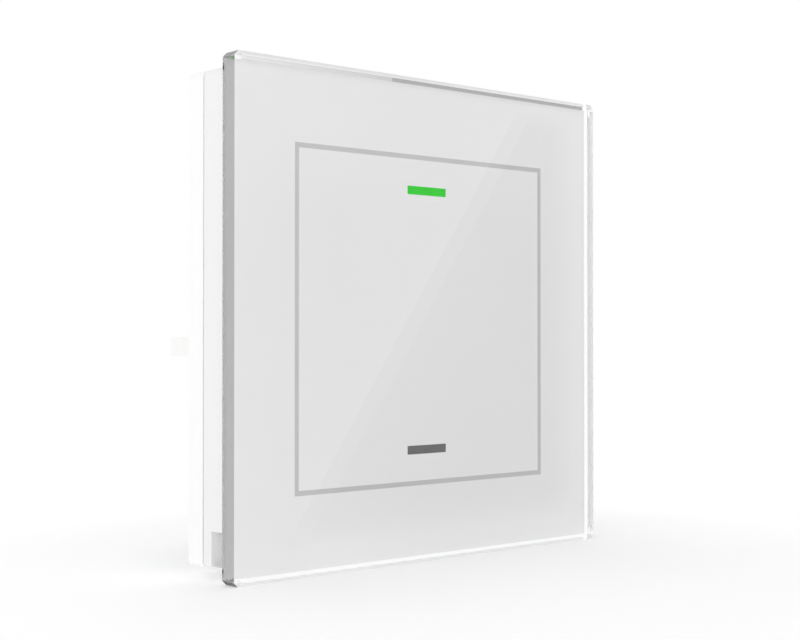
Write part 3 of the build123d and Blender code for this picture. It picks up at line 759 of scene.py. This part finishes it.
clipSizes = {
    "Strip": 0.35, "Width": 8.0, "Inner": 1.025, "Flare": 0.6, "Mouth": 9.5, "Foot": 5.905, "Fold": 0.42,
    "Columns": 2, "Spacing X": 40.0, "Rows": 2, "Spacing Y": 66.0, **toFront,
}


def clipTree():
    tree = Growth("springClip", clipSizes)
    inner, flare, mouth, foot, fold = tree.size("Inner", "Flare", "Mouth", "Foot", "Fold")
    strip, width = tree.size("Strip", "Width")
    lip = inner + flare
    shoulder = mouth - flare
    across = [lip, inner, inner, 0 - inner, 0 - inner, 0 - lip]
    along = [mouth, shoulder, foot, foot, shoulder, mouth]
    index = tree.node("GeometryNodeInputIndex") + 0
    place = (tree.pick(index, across), tree.pick(index, along), 0)
    points = tree.node("GeometryNodePoints", None, [len(across), place])
    path = tree.node("GeometryNodePointsToCurves", None, [points])
    path = tree.node("GeometryNodeFilletCurve", None, {0: path, 2: fold, 3: True})
    path = tree.node("GeometryNodeResampleCurve", None, {0: path, 2: around["clip"]})
    section = tree.node("GeometryNodeCurvePrimitiveQuadrilateral", None, [strip, width])
    clip = tree.node("GeometryNodeCurveToMesh", None, {0: path, 1: section, 3: True})
    clip = tree.moved(clip, turn=(quarter, 0, quarter))
    clips = tree.repeated(clip, *tree.size("Columns", "Spacing X", "Rows", "Spacing Y"))
    return tree.finished(clips, "springSteel")


grown(clipTree(), "retaining_clips", clipSizes)
print("spring clips made")


# Square pins and flat blades with drawn-in ends, in a row

pinSizes = {
    "Width": 0.64, "Thickness": 0.64, "Length": 9.4, "Taper": 0.5, "Tip": 0.55, "Count": 6, "Pitch": 2.54,
    **toWall,
}


def pinTree():
    tree = Growth("taperedPin", pinSizes)
    width, thickness, length, taper, tip = tree.size("Width", "Thickness", "Length", "Taper", "Tip")
    cube = tree.node("GeometryNodeMeshCube", None, [(width, thickness, length), 2, 2, 4])
    x, y, z = tree.split(tree.node("GeometryNodeInputPosition"))
    end = z.maths("ABSOLUTE") > length * 0.4
    drawn = 1 - end * (1 - tip)
    up = z.maths("SIGN") * (length / 2 - taper * (1 - end)) + length / 2
    pin = tree.node("GeometryNodeSetPosition", None, {0: cube, 2: (x * drawn, y * drawn, up)})
    pins = tree.repeated(pin, *tree.size("Count", "Pitch"), 1, 0.0)
    return tree.finished(pins, "tinnedBrass")


bladeSizes = {**pinSizes, "Width": 2.4, "Pitch": 7.5, "Count": 3, "Taper": 0.9, "Tip": 0.6}
taperedPin = pinTree()
for node, sizes in (("header_pins", pinSizes), ("contact_blades", bladeSizes)):
    reach = Reach(node)
    grown(taperedPin, node, {
        **sizes, "Thickness": reach.size.z, "Length": reach.size.y, "Place": reach.front})
print("pins and blades made")


# Small surface-mounted parts: a body between two tinned ends, and a raised window on the lamps

chipSizes = {
    "Length": 1.6, "Width": 0.8, "Thickness": 0.5, "End": 0.36, "Rounding": 0.06, "Inset": 0.03,
    "Columns": 4, "Pitch X": 3.0, "Rows": 2, "Pitch Y": 14.0, **toWall,
}


def chipTree(name, finish, window=None):
    tree = Growth(name, chipSizes)
    length, width, thickness = tree.size("Length", "Width", "Thickness")
    end, rounding, inset = tree.size("End", "Rounding", "Inset")
    low = thickness - inset * 2
    body = tree.roundedBox(length - inset * 2, width - inset * 2, low, rounding)
    shapes = [tree.moved(body, (0, 0, low / 2 + inset))]
    for side in (-1, 1):
        cap = tree.roundedBox(end, width, thickness - inset, rounding)
        cap = tree.moved(cap, ((length - end) / 2 * side, 0, (thickness - inset) / 2))
        shapes.append(tree.marked(cap, "markEnds"))
    marks = [("markEnds", "tinnedEnd")]
    if window:
        pane = tree.roundedBox(length - end * 2.6, width - inset * 6, inset * 4, inset)
        pane = tree.moved(pane, (0, 0, thickness - inset * 2))
        shapes.append(tree.marked(pane, "markWindow"))
        marks.append(("markWindow", window))
    chips = tree.repeated(tree.joined(*shapes), *tree.size("Columns", "Pitch X", "Rows", "Pitch Y"))
    return tree.finished(chips, finish, marks)


lampSizes = {
    **chipSizes, "Length": 2.0, "Width": 1.2, "Thickness": 0.4, "End": 0.3, "Columns": 2, "Pitch X": 4.4, "Rows": 1,
    **toFront,
}

capacitor = chipTree("chipCapacitor", "ceramicTan")
grown(capacitor, "chip_capacitors", {**chipSizes, "Place": Reach("chip_capacitors").front})
lamp = chipTree("chipLamp", "lampBody", "lampPhosphor")
for node in ("upper_lamps", "lower_lamps"):
    grown(lamp, node, {**lampSizes, "Place": Reach(node).rear})


# Touch chip: a flat moulded body with leads showing along its four sides and a sunk dot by the first

touchChipSizes = {
    "Side": 5.0, "Thickness": 0.9, "Chamfer": 0.16, "Lead Width": 0.32, "Lead Height": 0.3, "Lead Pitch": 0.7,
    "Leads": 6, "Lead Length": 0.4, "Lead Rounding": 0.03, "Inset": 0.02,
    "Dot Radius": 0.32, "Dot Depth": 0.05, "Dot Place": 1.7, **toWall,
}


def touchChipTree():
    tree = Growth("touchChip", touchChipSizes)
    side, thickness, chamfer = tree.size("Side", "Thickness", "Chamfer")
    width, height, pitch, count = tree.size("Lead Width", "Lead Height", "Lead Pitch", "Leads")
    dot, depth, dotPlace = tree.size("Dot Radius", "Dot Depth", "Dot Place")
    reach, leadRounding, inset = tree.size("Lead Length", "Lead Rounding", "Inset")
    block = side - inset * 2
    body = tree.roundedBox(block, block, thickness, chamfer)
    body = tree.moved(body, (0, 0, thickness / 2))
    sockets = {"Vertices": around["drill"], "Radius": dot, "Depth": depth * 2}
    drill = tree.node("GeometryNodeMeshCylinder", None, sockets)
    body = tree.cut(body, tree.moved(drill, (0 - dotPlace, dotPlace, thickness)))
    lead = tree.roundedBox(width, reach, height, leadRounding)
    lead = tree.moved(lead, (0, (side - reach) / 2, height / 2))
    row = tree.repeated(lead, count, pitch, 1, 0.0)
    corners = tree.node("GeometryNodePoints", None, [4])
    turns = (0, 0, tree.node("GeometryNodeInputIndex") * quarter)
    rows = tree.node("GeometryNodeInstanceOnPoints", None, {0: corners, 2: row, 5: turns})
    leads = tree.marked(tree.realized(rows), "markLeads")
    return tree.finished(tree.joined(body, leads), "chipBlack", [("markLeads", "tinnedEnd")])


grown(touchChipTree(), "touch_chip", {**touchChipSizes, "Place": Reach("touch_chip").front})
print("small parts made")


# Transformer winding: rings of wire between the flanges of a bobbin

coilSizes = {
    "Length": 9.0, "Width": 11.0, "Height": 5.9, "Hole Width": 5.3, "Hole Height": 3.1, "Flange": 0.5,
    "Wire Radius": 0.145, "Turns": 27, "Cover": 0.3, "Corner": 0.7, "Drum Rounding": 0.3, "Flange Rounding": 0.12,
    "Place": (0.0, 0.0, 0.0), "Turn": (0.0, quarter, 0.0),
}


def coilTree():
    tree = Growth("coil", coilSizes)
    length, width, height, flange = tree.size("Length", "Width", "Height", "Flange")
    wire, turns, cover, corner = tree.size("Wire Radius", "Turns", "Cover", "Corner")
    centre = cover + wire
    drumRounding, flangeRounding = tree.size("Drum Rounding", "Flange Rounding")
    drum = tree.roundedBox(width - centre * 2, height - centre * 2, length - flange, drumRounding)
    plate = tree.roundedBox(width, height, flange, flangeRounding)
    ends = [tree.moved(plate, (0, 0, (length - flange) / 2 * side)) for side in (-1, 1)]
    body = tree.node("GeometryNodeMeshBoolean", {"operation": "UNION", "solver": "EXACT"}, {1: [drum, *ends]})
    hole = tree.node("GeometryNodeMeshCube", None, [(*tree.size("Hole Width", "Hole Height"), length * 2)])
    body = tree.cut(body, hole)
    ring = tree.node("GeometryNodeCurvePrimitiveQuadrilateral", None, [width - centre * 2, height - centre * 2])
    ring = tree.node("GeometryNodeFilletCurve", None, {0: ring, 2: corner, 3: True})
    ring = tree.node("GeometryNodeResampleCurve", None, {0: ring, 2: around["winding"]})
    section = tree.node("GeometryNodeCurvePrimitiveCircle", None, {"Resolution": around["wire"], "Radius": wire})
    ring = tree.node("GeometryNodeCurveToMesh", None, {0: ring, 1: section})
    step = (length - flange * 2 - wire * 2) / (turns - 1)
    start = (0, 0, step * (turns - 1) * -0.5)
    sockets = {"Count": turns, "Start Location": start, "Offset": (0, 0, step)}
    places = tree.node("GeometryNodeMeshLine", None, sockets)
    rings = tree.node("GeometryNodeInstanceOnPoints", None, {0: places, 2: ring})
    winding = tree.marked(tree.realized(rings), "markWire")
    return tree.finished(tree.joined(body, winding), "bobbinYellow", [("markWire", "enamelledWire")])


reach = Reach("transformer_coil")
grown(coilTree(), "transformer_coil", {
    **coilSizes, "Length": reach.size.x, "Width": reach.size.z, "Height": reach.size.y,
    "Place": tuple(reach.middle)})


# Storage capacitor: a drawn can with a rolled groove, a rolled rim and a scored vent

canSizes = {
    "Radius": 4.0, "Height": 12.0, "Groove": 0.3, "Groove Low": 1.6, "Groove High": 2.4, "Rim": 0.35,
    "Floor Drop": 0.25, "Score Width": 0.25, "Score Depth": 0.12, **toWall,
}


def canTree():
    tree = Growth("drawnCan", canSizes)
    radius, height, groove, grooveLow, grooveHigh, rim = tree.size(
        "Radius", "Height", "Groove", "Groove Low", "Groove High", "Rim")
    drop = tree.size("Floor Drop")
    waist = radius - groove
    floor = height - drop
    profile = [(0.0, 0.0), (waist, 0.0), (radius, groove), (radius, grooveLow), (waist, grooveLow + drop),
               (waist, grooveHigh - drop), (radius, grooveHigh), (radius, height - rim),
               (radius - rim * 0.3, height - rim * 0.3), (radius - rim, height), (radius - rim * 1.8, height),
               (radius - rim * 2.3, floor), (0.0, floor)]
    can = tree.turned(profile, around["can"])
    width, depth = tree.size("Score Width", "Score Depth")
    for turn in (0, quarter):
        score = tree.node("GeometryNodeMeshCube", None, [(radius * 1.1, width, depth * 2)])
        can = tree.cut(can, tree.moved(score, (0, 0, floor), (0, 0, turn)))
    return tree.finished(can, "drawnAluminium")


grown(canTree(), "storage_capacitor", {**canSizes, "Place": Reach("storage_capacitor").front})
print("coil and capacitor made")


# Circuit boards, with a row of soldered joints where the pins and blades come through

jointSizes = {"Radius": 0.95, "Height": 0.45, "Pin Radius": 0.34, "Count": 6, "Pitch": 2.54, **toFront}
bladeJointSizes = {**jointSizes, "Radius": 1.7, "Height": 0.8, "Pin Radius": 1.1, "Count": 3, "Pitch": 7.5}
boardEdge = 0.05


def jointTree():
    tree = Growth("solderJoint", jointSizes)
    radius, height, pin = tree.size("Radius", "Height", "Pin Radius")
    profile = [(0.0, -0.05), (radius, -0.05), (radius, 0.03), (radius * 0.6 + pin * 0.4, height * 0.25),
               (pin + (radius - pin) * 0.2, height * 0.6), (pin * 0.9, height * 0.95), (0.0, height)]
    joints = tree.repeated(tree.turned(profile, around["joint"]), *tree.size("Count", "Pitch"), 1, 0.0)
    joints = tree.marked(tree.realized(joints), "markJoints")
    return tree.finished(joints, "circuitBoard", [("markJoints", "solder")])


solderJoint = jointTree()
for node, through, sizes in (("touch_board", "header_pins", jointSizes),
                             ("power_board", "contact_blades", bladeJointSizes)):
    middle = Reach(through).middle
    sizes = {**sizes, "Place": (middle.x, Reach(node).low.y, middle.z)}
    grown(solderJoint, node, sizes, softenedMesh(node, boardEdge))
print("boards made")


# Mouldings and pressings that keep their CAD shape, with their edges rounded

softPieces = [
    ("bonding_tape", "foamTape", "tape_white", 0.04),
    ("panel_frame", "panelPlastic", "white_plastic", 0.12),
    ("touch_housing", "housingPlastic", "white_plastic", 0.09),
    ("wall_base", "basePlastic", "white_plastic", 0.07),
    ("support_frame", "zincSteel", "zinc_steel", 0.12),
    ("upper_light_guide", "clearAcrylic", "clear_plastic", 0.06),
    ("lower_light_guide", "clearAcrylic", "clear_plastic", 0.06),
    ("upper_touch_pad", "conductiveFoam", "foam_black", 0.25),
    ("lower_touch_pad", "conductiveFoam", "foam_black", 0.25),
    ("header_strip", "blackPlastic", "black_plastic", 0.08),
    ("module_housing", "modulePlastic", "white_plastic", 0.1),
    ("module_lid", "modulePlastic", "white_plastic", 0.08),
    ("header_socket", "blackPlastic", "black_plastic", 0.08),
    ("transformer_core", "pressedFerrite", "ferrite", 0.1),
    ("fuse", "blackPlastic", "black_plastic", 0.05),
    ("film_capacitor", "blueCase", "film_blue", 0.2),
    ("heat_sink", "drawnAluminium", "can_aluminium", 0.1),
    ("triac", "chipBlack", "chip_black", 0.08),
    ("blade_header", "modulePlastic", "white_plastic", 0.08),
    ("terminal_block", "terminalPlastic", "white_plastic", 0.07),
    ("contact_forks", "tinnedBrass", "tinned_brass", 0.04),
    ("neutral_clamp", "zincSteel", "zinc_steel", 0.08),
    ("live_clamp", "zincSteel", "zinc_steel", 0.08),
    ("load_clamp", "zincSteel", "zinc_steel", 0.08),
]

for node, finish, slot, width in softPieces:
    newPiece(node, smoothed(softenedMesh(node, width)), [finish])
print("mouldings and fittings made")


# Floor, light and camera

stageSettings = {
    "floorHeight": -40.5, "floorSize": 3.0, "floorColour": (0.93, 0.93, 0.93), "floorLift": 0.13,
    "floorGlow": 0.30, "plainMiddle": (0.002, 0.016, 0.0), "plainFrom": 0.050, "plainTo": 0.092, "worldLight": 0.60,
}


# A camera, glossy or transmission ray: these see the plain white studio
def watchedBy(maker):
    seen = maker.node("ShaderNodeLightPath", output="Is Camera Ray")
    return seen.maths("MAXIMUM", seen.out("Is Glossy Ray")).maths("MAXIMUM", seen.out("Is Transmission Ray"))


def makeFloor():
    s = stageSettings
    finish = Finish("paleFloor", {"Roughness": 0.9, "Specular IOR Level": 0.0, "Base Color": s["floorColour"]})
    watched = watchedBy(finish)
    lift = watched * s["floorLift"] + (1 - watched) * s["floorGlow"]
    lift = finish.node("ShaderNodeEmission", None, {"Strength": lift})
    near = finish.node("ShaderNodeAddShader", None, [finish.lit(), lift])
    place = finish.place((1, 1, 0), shift=s["plainMiddle"])
    away = finish.node("ShaderNodeVectorMath", {"operation": "LENGTH"}, [place], "Value")
    sockets = {"Value": away, "From Min": s["plainFrom"], "From Max": s["plainTo"]}
    far = finish.node("ShaderNodeMapRange", {"interpolation_type": "SMOOTHSTEP"}, sockets)
    through = finish.node("ShaderNodeLightPath", output="Is Transmission Ray")
    plain = finish.node("ShaderNodeEmission", None, {"Strength": 1.0})
    share = (far * watched).maths("MAXIMUM", through)
    finish.surface(finish.node("ShaderNodeMixShader", None, [share, near, plain]))
    half = s["floorSize"]
    height = s["floorHeight"] * mm
    mesh = bpy.data.meshes.new("floor")
    mesh.from_pydata([(-half, -half, height), (half, -half, height), (half, half, height), (-half, half, height)],
                     [], [(0, 1, 2, 3)])
    mesh.materials.append(finish.material)
    floor = bpy.data.objects.new("floor", mesh)
    scene.collection.objects.link(floor)
    floor.visible_glossy = False


makeFloor()

world = bpy.data.worlds.new("studio")
scene.world = world
world.use_nodes = True
world.node_tree.nodes.clear()
maker = Maker(world.node_tree)
light = maker.node("ShaderNodeBackground", None, [(1.0, 1.0, 1.0), stageSettings["worldLight"]])
backdrop = maker.node("ShaderNodeBackground", None, [(1.0, 1.0, 1.0), 1.0])
mixed = maker.node("ShaderNodeMixShader", None, [watchedBy(maker), light, backdrop])
maker.node("ShaderNodeOutputWorld", None, [mixed])

# Soft boxes, aimed at the middle of the part
softboxes = {
    "leftBox": {"place": (-0.75, -0.15, 0.35), "width": 0.5, "height": 0.5, "power": 1.15, "mirrored": True},
    "topBox": {"place": (0.05, 0.25, 0.9), "width": 0.6, "height": 0.6, "power": 1.9, "mirrored": True},
    "frontBox": {"place": (-0.20, -1.10, 0.26), "width": 1.2, "height": 0.5, "power": 3.4, "mirrored": False},
}

for name, s in softboxes.items():
    light = bpy.data.lights.new(name, "AREA")
    light.shape = "RECTANGLE"
    light.size = s["width"]
    light.size_y = s["height"]
    light.energy = s["power"]
    lamp = bpy.data.objects.new(name, light)
    scene.collection.objects.link(lamp)
    lamp.visible_glossy = s["mirrored"]
    place = Vector(s["place"])
    lamp.matrix_world = Matrix.Translation(place) @ (-place).to_track_quat("-Z", "Y").to_matrix().to_4x4()


# A dark card to the right of the camera, which only glossy rays see. The glass mirrors it. Its left edge slants
# and has a lighter rim, and its other edges are soft.

cardSettings = {
    "depth": -800, "left": 480, "right": 920, "low": -200, "high": 230, "foot": 697, "slope": 0.705,
    "rim": 20, "rimShare": 0.4, "sideFrom": 862, "sideTo": 905, "footFrom": -152, "footTo": -180,
    "topFrom": 192, "topTo": 215, "darkness": 0.9,
}


# A card's black finish, and the place across and up the card in millimetres
def cardFinish(name):
    finish = Finish(name, {"Roughness": 1.0, "Specular IOR Level": 0.0, "Base Color": (0.0, 0.0, 0.0)})
    return finish, *finish.split(finish.coordinates() / mm)[::2]


def partlyClear(finish, share):
    clear = finish.node("ShaderNodeBsdfTransparent")
    finish.surface(finish.node("ShaderNodeMixShader", None, [share, clear, finish.lit()]))


# A card in the plane of one depth, from its lowest to its highest corner, seen by one kind of ray
def hungCard(name, material, s, seenBy):
    mesh = bpy.data.meshes.new(name)
    corners = ((s["left"], s["low"]), (s["right"], s["low"]), (s["right"], s["high"]), (s["left"], s["high"]))
    mesh.from_pydata([(x * mm, s["depth"] * mm, z * mm) for x, z in corners], [], [(0, 1, 2, 3)])
    mesh.materials.append(material)
    card = bpy.data.objects.new(name, mesh)
    scene.collection.objects.link(card)
    for ray in ("camera", "diffuse", "glossy", "transmission", "shadow"):
        setattr(card, "visible_" + ray, ray == seenBy)


s = cardSettings
finish, x, z = cardFinish("darkCard")
inside = x - z * s["slope"] - s["foot"]
share = (inside > 0) * (1 - s["rimShare"]) + (inside > -s["rim"]) * s["rimShare"]
for across, clear, full in ((x, "sideTo", "sideFrom"), (z, "footTo", "footFrom"), (z, "topTo", "topFrom")):
    share = share * finish.spread(across, 0, 1, s[clear], s[full])
partlyClear(finish, share * s["darkness"])
hungCard("darkCard", finish.material, s, "glossy")

# A grey card behind, which only transmission rays see, through the glass. It darkens to the right, with a dark
# step: painted shade, seen through the glass's clear margin, in place of the shadowed gap behind the glass.
backCardSettings = {
    "depth": 300, "left": 175, "right": 389, "low": 110, "high": 122, "paleFrom": 180, "greyTo": 258,
    "pale": 0.80, "grey": 0.62, "step": 261, "dark": 0.41,
}

s = backCardSettings
finish, x, z = cardFinish("backCard")
tone = finish.spread(x, s["pale"], s["grey"], s["paleFrom"], s["greyTo"])
tone = tone - (x > s["step"]) * (s["grey"] - s["dark"])
# The card's glow is painted shade: pale on the left, greyer to the right, dark past the step
finish.set({"Emission Color": (1.0, 1.0, 1.0), "Emission Strength": tone})
hungCard("backCard", finish.material, s, "transmission")

# A soft dark flag behind and low down, which only glossy rays see. The steel at the back mirrors it.
rearFlagSettings = {
    "depth": 700, "left": -450, "right": 1100, "low": -700, "high": 60, "clear": 40, "full": -420, "darkness": 0.75,
}

s = rearFlagSettings
finish, x, z = cardFinish("rearFlag")
partlyClear(finish, finish.spread(z, 0, s["darkness"], s["clear"], s["full"]))
hungCard("rearFlag", finish.material, s, "glossy")

cameraSettings = {
    "place": (-163.84, -194.07, -2.65), "yaw": 41.103, "pitch": 0.627, "focalPixels": 1438.85,
    "pixelsWide": 800, "sensor": 36, "clip": (0.01, 20),
}

s = cameraSettings
lens = bpy.data.cameras.new("camera")
lens.sensor_width = s["sensor"]
lens.lens = s["focalPixels"] * s["sensor"] / s["pixelsWide"]
lens.clip_start, lens.clip_end = s["clip"]
camera = bpy.data.objects.new("camera", lens)
scene.collection.objects.link(camera)
yaw, pitch = math.radians(s["yaw"]), math.radians(s["pitch"])
ahead = Vector((math.sin(yaw) * math.cos(pitch), math.cos(yaw) * math.cos(pitch), math.sin(pitch)))
camera.location = Vector(s["place"]) * mm
camera.rotation_mode = "QUATERNION"
camera.rotation_quaternion = ahead.to_track_quat("-Z", "Y")
scene.camera = camera
scene.view_settings.view_transform = "Standard"
print("stage, lights and camera set")
